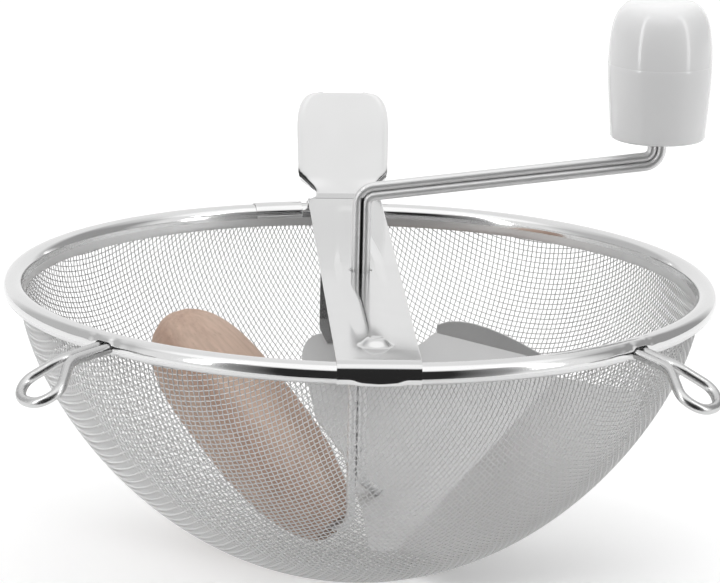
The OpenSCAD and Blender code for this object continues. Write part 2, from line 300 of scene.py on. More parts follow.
# %% Steel
def steel(name, colour, rough, spread, grain, bump, stretch=(1, 1, 1)):
    """Bare metal. grain is the size of its marks in mm, and stretch their proportions."""
    matter, tree, skin = new_finish(name)
    skin.inputs["Metallic"].default_value = 1.0
    place = node(tree, "ShaderNodeTexCoord").outputs["Object"]
    fine = noise(tree, sized(tree, place, [1000 / grain / s for s in stretch]), 1.0, 4.0)
    broad = noise(tree, place, 45.0)
    darker = [c * 0.94 for c in colour]
    lighter = [min(c * 1.04, 1) for c in colour]
    tree.links.new(tint(tree, broad, darker, lighter), skin.inputs["Base Color"])
    tree.links.new(spread_over(tree, fine, rough - spread, rough + spread), skin.inputs["Roughness"])
    emboss(tree, skin, fine, bump, 0.00005)
    return matter

bead_steel = steel("polished_bead", (0.73, 0.73, 0.73), 0.09, 0.04, 0.8, 0.06)
polished = steel("polished_strip", (0.67, 0.67, 0.67), 0.12, 0.04, 0.8, 0.08)
strap_steel = steel("plain_strap", (0.50, 0.50, 0.50), 0.11, 0.03, 0.8, 0.08)
bright_wire = steel("bright_wire", (0.60, 0.60, 0.60), 0.26, 0.05, 0.7, 0.06)
drawn_wire = steel("drawn_wire", (0.76, 0.76, 0.76), 0.52, 0.05, 0.5, 0.05)
woven_wire = steel("woven_wire", (0.61, 0.61, 0.61), 0.34, 0.08, 0.5, 0.06)
satin = steel("satin_blade", (0.61, 0.61, 0.61), 0.52, 0.08, 0.35, 0.20, (1, 9, 1))
print("finishes:", [m.name for m in bpy.data.materials])

# %% [markdown]
# Some places differ from the rest of their piece. The rim's inner lip is left duller than the
# bead, because no roll touches it. The strip's rear crease and the valley between the crank's two
# wires are painted dark: painted shade, where the crease and the valley lie in shade.

# %% Dull lip and painted shade
mark_edge = 0.0003

def mark(matter, socket, low, high, value):
    """Moves one input of a finish towards a value, inside a box given in mm."""
    tree = matter.node_tree
    skin = tree.nodes["Principled BSDF"]
    source = skin.inputs[socket].links[0].from_socket
    parts = node(tree, "ShaderNodeSeparateXYZ")
    tree.links.new(node(tree, "ShaderNodeTexCoord").outputs["Object"], parts.inputs[0])
    share = 1.0
    for axis, a, b in zip(parts.outputs, low, high):
        inside = window(tree, axis, (a + b) / 2000, (b - a) / 2000, mark_edge)
        share = math_node(tree, "MULTIPLY", inside, share)
    kind = "FLOAT" if socket == "Roughness" else "RGBA"
    mix = node(tree, "ShaderNodeMix", data_type=kind)
    mix.inputs["B"].default_value = value
    tree.links.new(share, mix.inputs["Factor"])
    tree.links.new(source, mix.inputs["A"])
    tree.links.new(mix.outputs["Result"], skin.inputs[socket])

mark(bead_steel, "Roughness", (-120, -120, -2), (120, 120, 5), 0.38)
# Painted shade: two darker bands of colour in the strip's rear crease.
mark(polished, "Base Color", (-20, 106.2, 8.4), (20, 112, 9.8), (0.53, 0.53, 0.53, 1))
mark(polished, "Base Color", (-20, 106.2, 7.2), (20, 112, 8.3), (0.20, 0.20, 0.20, 1))
# Painted shade: a dark line of colour in the valley between the crank's two wires.
mark(drawn_wire, "Base Color", (-0.4, -4, -14), (0.4, 4, 33), (0.11, 0.11, 0.11, 1))
print("dull places: rim's lip, strip's rear crease, valley between the crank's wires")

# %% [markdown]
# ## Woven bowl
# The bowl is pressed from flat square cloth of steel wire. No wire stretches much when the cloth
# is pressed, so its squares turn into diamonds between the two wire directions and stay square
# along them. That is how the net is built here: two wires cross at the bottom, and every next
# crossing lies one pitch from the two before it, on the bowl's wall. Each wire is then a tube that
# goes over one neighbour and under the next. A texture of holes would be lighter, but real wires
# catch the light, hide each other and cast shadows on the roller behind them.

# %% Wall of the bowl
bead_z = 6.1
bowl_depth = 86.6
bowl_z = bead_z - bowl_depth
rim_r = 101.95
mesh_r = rim_r - 2.1
pitch = 1.62
mid_z = 20.5

def bezier(p, n):
    """n + 1 points of the curve that four guide points p give."""
    t = np.linspace(0, 1, n + 1)[:, None]
    p = np.asarray(p, float)
    return (1 - t)**3 * p[0] + 3 * t * (1 - t)**2 * p[1] + 3 * t * t * (1 - t) * p[2] + t**3 * p[3]

wall_guides = [[mesh_r, bead_z - 1], [mesh_r, bowl_z + 0.69 * bowl_depth],
               [0.61 * mesh_r, bowl_z], [0, bowl_z]]
wall = bezier(wall_guides, 400)
wall = np.vstack([[[mesh_r, bead_z + 6]], wall])[::-1]
wall_angle = np.arctan2(wall[:, 0], mid_z - wall[:, 1])
wall_reach = np.hypot(wall[:, 0], wall[:, 1] - mid_z)
wall_length = float(np.linalg.norm(np.diff(wall, axis=0), axis=1).sum())

def on_wall(p):
    """Points moved onto the wall along rays from the middle."""
    d = p - [0, 0, mid_z]
    size = np.linalg.norm(d, axis=-1)
    angle = np.arccos(np.clip(-d[..., 2] / size, -1, 1))
    return [0, 0, mid_z] + d * (np.interp(angle, wall_angle, wall_reach) / size)[..., None]

print("the wall is", round(wall_length, 1), "mm long from the bottom to the rim")

# %% Net of crossings
net_top = bead_z + 1.2
pulls, pull = 8, 0.65

def quarter_net():
    """A quarter of the net. Each crossing is pulled until both its sides are one pitch long."""
    along = np.r_[0, np.cumsum(np.linalg.norm(np.diff(wall, axis=0), axis=1))]
    count = int(along[-1] / pitch) + 1
    steps = np.arange(count) * pitch
    r, z = np.interp(steps, along, wall[:, 0]), np.interp(steps, along, wall[:, 1])
    net = np.full((count, count, 3), np.nan)
    net[:, 0] = np.c_[r, 0 * r, z]
    net[0, :] = np.c_[0 * r, r, z]
    too_high = z > net_top
    net[too_high, 0] = net[0, too_high] = np.nan
    for k in range(2, 2 * count - 1):
        i = np.arange(max(1, k - count + 1), min(k - 1, count - 1) + 1)
        j = k - i
        a, b, c = net[i - 1, j], net[i, j - 1], net[i - 1, j - 1]
        p = on_wall(a + b - c)
        for _ in range(pulls):
            u, v = p - a, p - b
            lu, lv = np.linalg.norm(u, axis=1), np.linalg.norm(v, axis=1)
            p = on_wall(p - pull * (((lu - pitch) / lu)[:, None] * u + ((lv - pitch) / lv)[:, None] * v))
        p[~(p[:, 2] < net_top)] = np.nan
        net[i, j] = p
    return net

def full_net(turn):
    """net[i, j] for i, j from -n to n, from four turned quarters."""
    q = quarter_net()
    n = len(q) - 1
    net = np.full((2 * n + 1, 2 * n + 1, 3), np.nan)
    for k in range(4):
        c, s = [1, 0, -1, 0][k], [0, 1, 0, -1][k]
        turned = np.stack([c * q[..., 0] - s * q[..., 1], s * q[..., 0] + c * q[..., 1], q[..., 2]], -1)
        i, j = np.meshgrid(np.arange(n + 1), np.arange(n + 1), indexing="ij")
        net[c * i - s * j + n, s * i + c * j + n] = turned
    a = math.radians(turn)
    spin = np.array([[math.cos(a), -math.sin(a), 0], [math.sin(a), math.cos(a), 0], [0, 0, 1]])
    return net @ spin.T

weave_turn = 54
net = full_net(weave_turn)
print("crossings:", int((~np.isnan(net[..., 0])).sum()))

# %% Direction across the wall
def wall_normal(p):
    """Outward normal of the wall at points."""
    d = p - [0, 0, mid_z]
    angle = np.arctan2(np.hypot(d[..., 0], d[..., 1]), -d[..., 2])
    slope = np.gradient(wall_reach, wall_angle)
    reach, lean = np.interp(angle, wall_angle, wall_reach), np.interp(angle, wall_angle, slope)
    out = d / np.linalg.norm(d, axis=-1)[..., None]
    side = np.stack([d[..., 0], d[..., 1], 0 * d[..., 0]], -1)
    side /= np.maximum(np.linalg.norm(side, axis=-1), 1e-9)[..., None]
    turn = side * np.cos(angle)[..., None] + np.array([0, 0, 1]) * np.sin(angle)[..., None]
    normal = out - turn * (lean / reach)[..., None]
    return normal / np.linalg.norm(normal, axis=-1)[..., None]

low_point = wall_normal(np.array([[0.0, 0.0, bowl_z]]))[0]
print("at the bottom the wall faces", np.round(low_point, 2).tolist())

# %% Wires of the cloth
def cloth_wires(name, net, wire, phase):
    """All wires that run along the net's second index, as one mesh of square-sided tubes."""
    points, faces, total = [], [], 0
    corner = np.radians([45, 135, 225, 315])
    square_r = wire / 2 * 1.1
    for i in range(len(net)):
        j = np.where(~np.isnan(net[i, :, 0]))[0]
        if len(j) < 3:
            continue
        p = net[i, j]
        normal = wall_normal(p)
        p = p + normal * (phase * np.where((i + j) % 2, 0.5, -0.5) * wire)[:, None]
        ahead = np.gradient(p, axis=0)
        ahead /= np.linalg.norm(ahead, axis=1)[:, None]
        beside = np.cross(ahead, normal)
        beside /= np.linalg.norm(beside, axis=1)[:, None]
        up = np.cross(beside, ahead)
        ring = [p + square_r * (math.cos(a) * up + math.sin(a) * beside) for a in corner]
        points.append(np.stack(ring, 1).reshape(-1, 3))
        k = total + 4 * np.arange(len(j) - 1)[:, None]
        for s in range(4):
            faces.append(np.hstack([k + s, k + (s + 1) % 4, k + 4 + (s + 1) % 4, k + 4 + s]))
        total += 4 * len(j)
    return mesh_object(name, np.vstack(points), np.vstack(faces))

cloth_wire = 0.30
warp = cloth_wires("warp_wires", net, cloth_wire, 1)
weft = cloth_wires("weft_wires", net.transpose(1, 0, 2), cloth_wire, -1)
for cloth in (warp, weft):
    cloth.data.materials.append(woven_wire)
    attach(cloth, "sieve")
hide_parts("mesh_bowl")
print("faces in the cloth:", len(warp.data.polygons) + len(weft.data.polygons))

# %% [markdown]
# ## Wood
# The roller is turned from beech. Beech is pinkish, its growth rings are faint, and short dark
# flecks lie along the grain. The roller lies aslant in the bowl, so its wood is laid out in the
# roller's own directions, with long stretched noise for the grain and small stretched cells for
# the flecks. Round the axle's bore at the lower end the wood is painted dark, as painted shade in the recess.

# %% Grain directions
roller_foot = (-0.005256, 0.003194, -0.07059)
axle = Vector((-0.590247, 0.495276, 0.637424)).normalized()

def along_roller(tree):
    """Places in the roller's own directions, with Z along its axle."""
    lie = node(tree, "ShaderNodeMapping", vector_type="TEXTURE")
    lie.inputs["Location"].default_value = roller_foot
    lie.inputs["Rotation"].default_value = axle.to_track_quat("Z", "Y").to_euler()
    tree.links.new(node(tree, "ShaderNodeTexCoord").outputs["Object"], lie.inputs["Vector"])
    return lie.outputs[0]

print("roller's axle rises", round(math.degrees(math.asin(axle.z)), 1), "degrees")

# %% Marks in the wood, and painted shade at the bore
dark_beech, light_beech = (0.44, 0.295, 0.225, 1), (0.57, 0.42, 0.335, 1)

def ring_colour(tree, place):
    """Broad rings, long along the grain, between two near colours."""
    ramp = node(tree, "ShaderNodeValToRGB")
    dark, light = ramp.color_ramp.elements
    dark.position, light.position = 0.36, 0.64
    dark.color, light.color = dark_beech, light_beech
    rings = noise(tree, sized(tree, place, (1.0, 1.0, 0.16)), 60, 3, 0.6)
    tree.links.new(rings, ramp.inputs["Fac"])
    return ramp.outputs["Color"]

def flecks(tree, place):
    """0.84 on a fleck and 1 between them."""
    cells = node(tree, "ShaderNodeTexVoronoi")
    cells.inputs["Scale"].default_value = 1.0
    tree.links.new(sized(tree, place, (1300, 1300, 260)), cells.inputs["Vector"])
    clear = spread_over(tree, cells.outputs["Distance"], 0, 1, 0.10, 0.22)
    return math_node(tree, "ADD", math_node(tree, "MULTIPLY", clear, 0.16), 0.84)

def bore_shade(tree, place):
    """0.15 where shade is painted on the end round the bore, and 1 elsewhere."""
    spot = node(tree, "ShaderNodeSeparateXYZ")
    tree.links.new(place, spot.inputs[0])
    squares = [math_node(tree, "MULTIPLY", s, s) for s in spot.outputs[:2]]
    away = math_node(tree, "SQRT", math_node(tree, "ADD", *squares))
    at_end = window(tree, spot.outputs[2], 0, 0.004, 0.001)
    shaded_spot = math_node(tree, "MULTIPLY", window(tree, away, 0, 0.0040, 0.0008), at_end)
    return math_node(tree, "SUBTRACT", 1.0, math_node(tree, "MULTIPLY", shaded_spot, 0.85))

print("beech runs from", dark_beech[:3], "to", light_beech[:3])

# %% Beech
def beech():
    matter, tree, skin = new_finish("turned_beech")
    place = along_roller(tree)
    fibre = noise(tree, sized(tree, place, (1.0, 1.0, 0.05)), 900, 2)
    shade = math_node(tree, "ADD", math_node(tree, "MULTIPLY", fibre, 0.44), 0.74)
    shade = math_node(tree, "MULTIPLY", shade, flecks(tree, place))
    # Painted shade: the wood round the axle's bore at the roller's end is darkened.
    shade = math_node(tree, "MULTIPLY", shade, bore_shade(tree, place))
    dim = node(tree, "ShaderNodeMix", data_type="RGBA", blend_type="MULTIPLY")
    dim.inputs["Factor"].default_value = 1.0
    tree.links.new(ring_colour(tree, place), dim.inputs["A"])
    tree.links.new(shade, dim.inputs["B"])
    tree.links.new(dim.outputs["Result"], skin.inputs["Base Color"])
    skin.inputs["Roughness"].default_value = 0.62
    emboss(tree, skin, fibre, 0.25, 0.00008)
    return matter

wood = beech()
print("made", wood.name)

# %% [markdown]
# ## White plastic
# The knob is a glossy moulding. One flat white would look like paper. A moulding is never quite
# flat: broad, very low waves bend its reflections, and a fine haze dulls them a little.

# %% White plastic
def white_plastic():
    matter, tree, skin = new_finish("white_moulding")
    place = node(tree, "ShaderNodeTexCoord").outputs["Object"]
    broad = noise(tree, place, 60)
    tree.links.new(spread_over(tree, broad, 0.09, 0.15), skin.inputs["Roughness"])
    white = tint(tree, broad, (0.85, 0.85, 0.855), (0.88, 0.88, 0.88))
    tree.links.new(white, skin.inputs["Base Color"])
    emboss(tree, skin, broad, 0.05, 0.0002)
    return matter

moulding = white_plastic()
print("finishes:", [m.name for m in bpy.data.materials])

# %% [markdown]
# ## Wire, turned and pressed shapes
# Three ways of making cover the rest. Bent wire is a tube swept along a path whose corners are
# rounded to a bend radius. Turned and rolled shapes are a profile spun round an axis. Pressed
# sheet is a grid of points with its thickness added by a modifier, so that one formula can give
# the whole relief of the pressing.

# %% Paths
def unit(v):
    v = np.asarray(v, float)
    return v / np.linalg.norm(v)

def arc(centre, r, a0, a1, n):
    """n + 1 points of an arc, from angle a0 to a1 in degrees."""
    a = np.radians(np.linspace(a0, a1, n + 1))
    return np.asarray(centre, float) + r * np.stack([np.cos(a), np.sin(a)], -1)

def bent_path(corners, bends, n=12):
    """The middle line of a wire through corners, each inner one rounded to its bend radius."""
    c = [np.asarray(q, float) for q in corners]
    path = [c[0]]
    for before, corner, after, radius in zip(c, c[1:], c[2:], bends):
        a, b = unit(corner - before), unit(after - corner)
        half = math.acos(np.clip(a @ b, -1, 1)) / 2
        centre = corner + unit(b - a) * radius / math.cos(half)
        x, y = unit(corner - a * radius * math.tan(half) - centre), a
        for t in np.linspace(0, 2 * half, n + 1):
            path.append(centre + radius * (math.cos(t) * x + math.sin(t) * y))
    path.append(c[-1])
    return np.array(path)

# %% Tube
def ring_faces(rings, sides):
    """Faces between rings of points, and one face over each end."""
    faces = []
    for i in range(rings - 1):
        a, b = i * sides, (i + 1) * sides
        faces += [[a + k, a + (k + 1) % sides, b + (k + 1) % sides, b + k] for k in range(sides)]
    last = (rings - 1) * sides
    return faces + [list(range(sides))[::-1], list(range(last, last + sides))]

def tube(name, path, radius, sides=20):
    """A round wire along a path, with its ends closed. radius may change along it."""
    path = np.asarray(path, float)
    radius = np.broadcast_to(radius, len(path))
    ahead = np.gradient(path, axis=0)
    ahead /= np.linalg.norm(ahead, axis=1)[:, None]
    side = unit(np.cross(ahead[0], [0.3, 0.5, 0.8]))
    points = []
    for p, t, r in zip(path, ahead, radius):
        side = unit(side - t * (side @ t))
        up = np.cross(t, side)
        a = np.linspace(0, 2 * np.pi, sides, endpoint=False)[:, None]
        points.append(p + r * (np.cos(a) * side + np.sin(a) * up))
    return mesh_object(name, np.vstack(points), ring_faces(len(path), sides))

# %% Spun shape
def spun(name, profile, spot=(0, 0, 0), steps=160, skip=None, shift=None, turns=None):
    """A profile of (radius, height) spun round Z at spot. skip leaves out faces, shift moves points."""
    profile = np.asarray(profile, float)
    turns = np.linspace(0, 2 * np.pi, steps, endpoint=False) if turns is None else np.asarray(turns)
    whole = abs(turns[-1] - turns[0]) > 2 * np.pi - 0.5
    n, m = len(turns), len(profile)
    a, k = np.meshgrid(turns, np.arange(m), indexing="ij")
    r, z = profile[k, 0], profile[k, 1]
    if shift is not None:
        r, z = shift(a, k, r, z)
    points = np.stack([r * np.cos(a), r * np.sin(a), z], -1).reshape(-1, 3) + np.asarray(spot, float)
    faces = []
    for i in range(n if whole else n - 1):
        here, after = i * m, ((i + 1) % n) * m
        for j in range(m - 1):
            if skip is None or not skip(turns[i], turns[(i + 1) % n], j):
                faces.append([here + j, after + j, after + j + 1, here + j + 1])
    return mesh_object(name, points, faces)

# %% Sheet
def thicken(thing, thickness, round_edge, inward=0.0):
    """Adds a sheet's thickness, and rounds its cut edges a little."""
    solid = thing.modifiers.new("thickness", "SOLIDIFY")
    solid.thickness = thickness / 1000
    solid.offset = inward
    edge = thing.modifiers.new("round_edge", "BEVEL")
    edge.width = round_edge / 1000
    edge.segments = 2
    edge.limit_method = "ANGLE"
    edge.angle_limit = math.radians(50)

def grid_faces(rows, columns, leave):
    """Faces of a grid of points, without those that leave(row, column) names."""
    return [[i * columns + k, i * columns + k + 1, (i + 1) * columns + k + 1, (i + 1) * columns + k]
            for i in range(rows - 1) for k in range(columns - 1) if not leave(i, k)]

def finish(thing, matter, body, slot, *nodes):
    """Gives a piece its finish and its body, and hides the solids that it stands for."""
    thing.data.materials.append(matter)
    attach(thing, body)
    if nodes:
        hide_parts(*nodes)
    return thing

print("a right-angle bend has", len(bent_path([(0, 0, 0), (9, 0, 0), (9, 9, 0)], [4])), "points")

# %% [markdown]
# ## Rim
# The rim is a strip of polished sheet rolled into a bead round the cloth's edge, with a short lip
# on the inside. At the two wire loops a notch is punched in the bead for their legs, and the
# sheet is pinched beside it. Cutting the notches with a boolean would leave ragged shading on
# such thin sheet. Instead the profile is spun with extra steps at the notches, the faces there
# are left out, and the sheet gets its thickness afterwards.

# %% Profile of the bead
bead_r = 3.05
lip_r = rim_r - bead_r
lip_drop = 3.6
top_angle = np.linspace(180, 31.6, 26)
notch_angle = np.linspace(29, -97.5, 44)
bead_angle = np.concatenate([top_angle, notch_angle, np.linspace(-101, -120, 4)])
lip_rows = [[lip_r, bead_z - lip_drop], [lip_r, bead_z - 2.4], [lip_r, bead_z - 1.2]]
bead_profile = np.vstack([lip_rows, np.stack([rim_r + bead_r * np.cos(np.radians(bead_angle)),
                                              bead_z + bead_r * np.sin(np.radians(bead_angle))], -1)])
row_angle = np.radians(np.concatenate([[180] * len(lip_rows), bead_angle]))
print("the bead's profile has", len(bead_profile), "points")

# %% Notches and pinches
loop_angle = 45.8
leg_gap = 1.6
loop_r = 1.5
notch_half = leg_gap + loop_r + 0.3
loop_turns = [math.radians(-90 - loop_angle), math.radians(-90 + loop_angle)]

def beside_loop(a):
    """Distance along the bead to the nearer loop, in mm."""
    return np.min([np.abs((np.asarray(a) - t + np.pi) % (2 * np.pi) - np.pi) for t in loop_turns], 0) * rim_r

def pinch(a, k, r, z):
    """The bead is squeezed beside the notches, and waves very slightly all round."""
    s = beside_loop(a)
    squeeze = 0.50 * np.exp(-((s - notch_half - 0.4) / 1.5)**2) + 0.18 * np.exp(-((s - 8.5) / 2.5)**2)
    ring = (k >= len(lip_rows)).astype(float)
    t = row_angle[k]
    squeeze = squeeze * np.clip(0.35 + 0.65 * np.cos(t + 0.5), 0, 1) * ring
    wave = 0.05 * np.sin(3 * a + 0.6) + 0.03 * np.sin(7 * a)
    return r - squeeze * np.cos(t) + (wave - 0.08) * 0.3, z - squeeze * np.sin(t) + wave

def in_notch(a, b, k):
    """The cut follows the two legs: two round holes that run into each other."""
    s = beside_loop(np.array([(a + b) / 2]))[0]
    if k < len(top_angle) or s > notch_half:
        return False
    t = (row_angle[k] + row_angle[min(k + 1, len(row_angle) - 1)]) / 2
    height = bead_r * math.sin(t) + 0.5
    return math.cos(t) > 0 and math.hypot(max(s - leg_gap, 0), height) < loop_r + 0.25

print("each notch is", round(2 * notch_half, 1), "mm wide")

# %% Rolled bead
fine = np.concatenate([np.linspace(-12, -4, 12), np.linspace(-3.8, 3.8, 31), np.linspace(4, 12, 12)])
fine = fine / rim_r
turns = np.linspace(0, 2 * np.pi, 360, endpoint=False)
turns = turns[beside_loop(turns) > 12.5]
turns = np.sort(np.concatenate([turns] + [(t + fine) % (2 * np.pi) for t in loop_turns]))
bead = spun("bead", bead_profile, skip=in_notch, shift=pinch, turns=turns)
bead.data.flip_normals()
thicken(bead, 0.4, 0.08, inward=-1)
finish(bead, bead_steel, "sieve", "polished_steel", "rim_bead")
print("bead faces:", len(bead.data.polygons))

# %% [markdown]
# The rolled sheet's end laps over its start behind the bridge. The outer layer ends in a cut that
# is not quite straight, and its lower corner is pressed flatter. It is spun like the bead, over
# a few degrees only, and a little larger all round.

# %% Lap of the bead
lap_from, lap_turn = 97.8, 8.6
lap_r = bead_r + 0.42

def lap_wave(a, k, r, z):
    along = (np.degrees(a) - lap_from) / lap_turn
    press = 0.25 * np.exp(-(along / 0.12)**2) + 0.25 * np.exp(-((along - 0.93) / 0.09)**2)
    low = np.clip((bead_z - z) / bead_r, 0, 1)
    return r + 0.5 * press * low, z + 0.3 * np.sin(along * 9) * low

lap_angle = np.concatenate([np.linspace(236, 31, 40), np.linspace(20, -75, 18)])
lap_profile = np.stack([rim_r + lap_r * np.cos(np.radians(lap_angle)),
                        bead_z + lap_r * np.sin(np.radians(lap_angle))], -1)
lap_turns = np.radians(np.linspace(lap_from, lap_from + lap_turn, 40))
lap = spun("bead_lap_sheet", lap_profile, shift=lap_wave, turns=lap_turns)
lap.data.flip_normals()
thicken(lap, 0.35, 0.08, inward=-1)
finish(lap, bead_steel, "sieve", "polished_steel", "bead_lap")
print("the lap is", round(math.radians(lap_turn) * rim_r, 1), "mm long")

# %% [markdown]
# ## Wire loops
# Each loop is one bent wire: its two ends lie inside the bead, its legs leave side by side
# through the notch, and its eye droops to hook over a pot's edge. A wire bender thinks in corners
# and bend radii, and so does this path: it is laid out flat, corner by corner, and then turned to
# its place on the rim.

# %% Loops
eye_length, eye_droop = 16.6, math.radians(34)
loop_bends = [1.6, 9, 5.8, 5.8]

def loop_path(turn, leg, slope):
    leg_way = np.array([math.cos(math.radians(slope)), 0, -math.sin(math.radians(slope))])
    eye_way = np.array([math.cos(eye_droop), 0, -math.sin(eye_droop)])
    start = np.array([rim_r + 0.05, 0, bead_z - 0.5])
    neck = start + leg * leg_way

    def side(s):
        y = np.array([0, s, 0])
        return [start + (leg_gap + 9.4) * y, start + leg_gap * y, neck + leg_gap * y,
                neck + 0.635 * eye_length * eye_way + 7.3 * y, neck + eye_length * eye_way + 3.8 * y]

    path = bent_path(side(1) + side(-1)[::-1], loop_bends + loop_bends[::-1])
    c, s = math.cos(turn), math.sin(turn)
    return path @ np.array([[c, s, 0], [-s, c, 0], [0, 0, 1]])

loops = (("loop_left", loop_turns[0], 17, 4.6), ("loop_right", loop_turns[1], 14, 9.4))
for name, turn, leg, slope in loops:
    loop = tube(name + "_wire", loop_path(turn, leg, slope), loop_r, 24)
    finish(loop, bright_wire, "sieve", "steel_wire", name)
    print(name, "wire is", round(loop_r * 2, 1), "mm thick")

# %% [markdown]
# ## Bridge
# The bridge is one strip of sheet. It hooks round the front of the bead, runs flat over the bowl,
# wraps the back of the bead, turns back on itself and rises as a wide thumb tab. A long rib is
# pressed up along the flat part, round and narrow at its ends and wide at the crank's hole, and a
# dome stands in front of it. The whole strip is one grid: its path gives each row's place, and a
# formula gives the height of the pressing.

# %% Sizes of the strip
bridge_t = 0.8
hook_r = bead_r + 0.35 + bridge_t / 2
strip_z = bead_z + hook_r
strip_half = 11.6
rear_y = rim_r + 0.1
return_r = 1.3
turn_y = rear_y + hook_r - 0.3 + return_r
tab_lean = math.radians(27)
tab_length = 43.15
print("the strip's middle lies", hook_r, "mm from the middle of the bead")

# %% [markdown]
# The strip's path is drawn from the side, as a line of points: round the front bead, along the
# flat, round the back bead, through the return bend and up the tab. The hook's upper front is
# squarer than a circle. Rows lie close together where the pressing has fine detail.

# %% Path of the strip
hook_centre = [-rim_r, bead_z]
hook_part = arc(hook_centre, hook_r, 216, 90, 42)
round_way = hook_part - hook_centre
squareness = (np.abs(round_way) ** 3).sum(1) ** (1 / 3) / hook_r
squarer = hook_centre + round_way / squareness[:, None]
hook_part = np.where(round_way[:, 1:] > 0, squarer, hook_part)
flat_y = np.concatenate([np.arange(-rim_r + 0.5, -74, 0.5), np.arange(-74, -6, 1.4),
                         np.arange(-6, 6, 0.5), np.arange(6, rear_y - 0.5, 1.4)])
flat_part = np.stack([flat_y, np.full(len(flat_y), strip_z)], -1)
rear_part = arc([rear_y, bead_z], hook_r, 90, 0, 16)
return_part = arc([turn_y, 1.7], return_r, 180, 333, 12)
tab_end = tab_length - 12 * (1 - np.sin(np.linspace(0.06, np.pi / 2, 16)))
rise = np.concatenate([np.linspace(0.8, 16, 30), np.linspace(17, 30, 12), tab_end])
tab_part = return_part[-1] + rise[:, None] * [math.sin(tab_lean), math.cos(tab_lean)]
strip_path = np.vstack([hook_part, flat_part, rear_part, return_part, tab_part])
not_tab = -1.0
strip_rise = np.concatenate([np.full(len(strip_path) - len(rise), not_tab), rise])
strip_flow = np.gradient(strip_path, axis=0)
strip_flow /= np.linalg.norm(strip_flow, axis=1)[:, None]
strip_up = np.stack([-strip_flow[:, 1], strip_flow[:, 0]], -1)
print("strip's length:", round(float(np.linalg.norm(np.diff(strip_path, axis=0), axis=1).sum()), 1), "mm")

# %% Width of the strip
def tab_half(s):
    """Half the strip's width at distance s up the tab."""
    top = tab_length
    corner = bezier([[14.6, top - 12], [14.6, top - 4], [13.0, top], [8.1, top]], 30)
    at = [0, 7.2, 8.2, 8.8, 10.3, 14.3, 16.3, *corner[:, 1]]
    half = [strip_half, strip_half, 9.6, 8.5, 8.5, 13.4, 14.2, *corner[:, 0]]
    return np.interp(s, at, half)

print("tab is", round(2 * float(tab_half(30)), 1), "mm across")

# %% [markdown]
# The pressing is one formula of where a point lies on the strip. Smooth steps make the rib's
# sloping sides and its round ends. The dome joins the rib by a cube root of cubes, which keeps
# the larger of the two and rounds the crease between them, as a press does. Carving both with
# booleans would leave sharp edges to round afterwards.

# %% Relief of the strip
dome_y = -86.4

def smooth(t):
    t = np.clip(t, 0, 1)
    return t * t * (3 - 2 * t)

def relief(x, y, s, on_flat, hook):
    """Height of the pressing, in mm, at x across, y along and s up the tab."""
    half = np.interp(y, [-79, -45, -10, 10, 50, 90], [5.4, 6.6, 7.8, 7.8, 6.2, 4.6])
    edge = np.interp(y, [-79, -40, -12, 12, 50, 90], [5.4, 5.6, 3.2, 3.2, 4.2, 4.4])
    rib = np.interp(y, [-79, -45, -10], [0.45, 0.7, 0.85]) * smooth((half - abs(x)) / edge)
    rib = rib * smooth((y + 92) / 30) * smooth((94 - y) / 16)
    dome_at = np.hypot(x / 1.05, y - dome_y)
    dome = 2.2 * smooth((4.9 - dome_at) / 3.1) - 0.25 * np.exp(-(dome_at / 1.3)**2)
    crown = 0.10 * (1 - (x / strip_half)**2) * smooth((y + rim_r) / 12) * smooth((rear_y - y) / 12)
    body = on_flat * (np.cbrt(np.maximum(rib, 0)**3 + np.maximum(dome, 0)**3) + crown)
    lip = hook * (0.30 * np.exp(-(x / 4.4)**2) - 0.40 * smooth((abs(x) - 4.6) / 3.6))
    corner = abs((abs(x) - 11.2) * 0.62 - (s - 12.8) * 0.62)
    curl = np.where(s > 9, -0.45 * np.exp(-(corner / 0.6)**2) * smooth((abs(x) - 8) / 2), 0)
    border = np.where(s > 16, 0.16 * smooth((abs(x) - tab_half(s) + 2.0) / 1.0), 0)
    dish = np.where(s > 11, 0.25 * (x / 14.0)**2 * smooth((s - 11) / 4), 0)
    return body + lip + curl - border * 0.5 - dish

dome_top = relief(0, dome_y + 1.5, not_tab, 1, 0)
print("the dome stands", round(float(dome_top), 1), "mm high beside its dimple")

# %% Strip
hole_r = 3.45
hook_rows = 15

def pressed_strip():
    columns = 81
    u = np.linspace(-1, 1, columns)
    half = np.where(strip_rise == not_tab, strip_half, tab_half(np.maximum(strip_rise, 0)))
    x = half[:, None] * u[None]
    y = np.broadcast_to(strip_path[:, :1], x.shape)
    s = np.broadcast_to(strip_rise[:, None], x.shape)
    rows = np.arange(len(strip_path))
    first, last = len(hook_part) - 2, len(hook_part) + len(flat_part)
    on_flat = ((rows >= first) & (rows < last))[:, None].astype(float)
    on_hook = smooth((hook_rows - rows) / hook_rows)[:, None]
    lift = relief(x, y, s, on_flat, on_hook)
    along = strip_path[:, :1] + lift * strip_up[:, :1]
    up = strip_path[:, 1:] + lift * strip_up[:, 1:]
    points = np.stack([x, along, up], -1).reshape(-1, 3)
    reach = np.hypot(points[:, 0], points[:, 1])
    near = (reach < hole_r) & (points[:, 2] > strip_z - 1)
    inside = near.reshape(x.shape)

    def leave(i, k):
        return inside[i:i + 2, k:k + 2].all()

    faces = grid_faces(len(strip_path), columns, leave)
    used = {v for f in faces for v in f}
    for v in np.where(near)[0]:
        if v in used:
            points[v, :2] *= hole_r / max(reach[v], 1e-6)
    return mesh_object("bridge_strip", points, faces)

strip = pressed_strip()
thicken(strip, bridge_t - 0.12, 0.3)
finish(strip, polished, "bridge", "polished_steel", "bridge")
print("strip faces:", len(strip.data.polygons))

# %% [markdown]
# ## Crank
# The crank is one wire folded double. Its hairpin end stands up inside the knob, both wires run
# side by side along the arm and down the shaft, and at the bottom they part: one turns up to
# carry the roller, and the other pins the scraper blade. Modelled as two tubes, the hairpin would
# need a joint that the real one lacks, so the path goes through all the corners in one run.

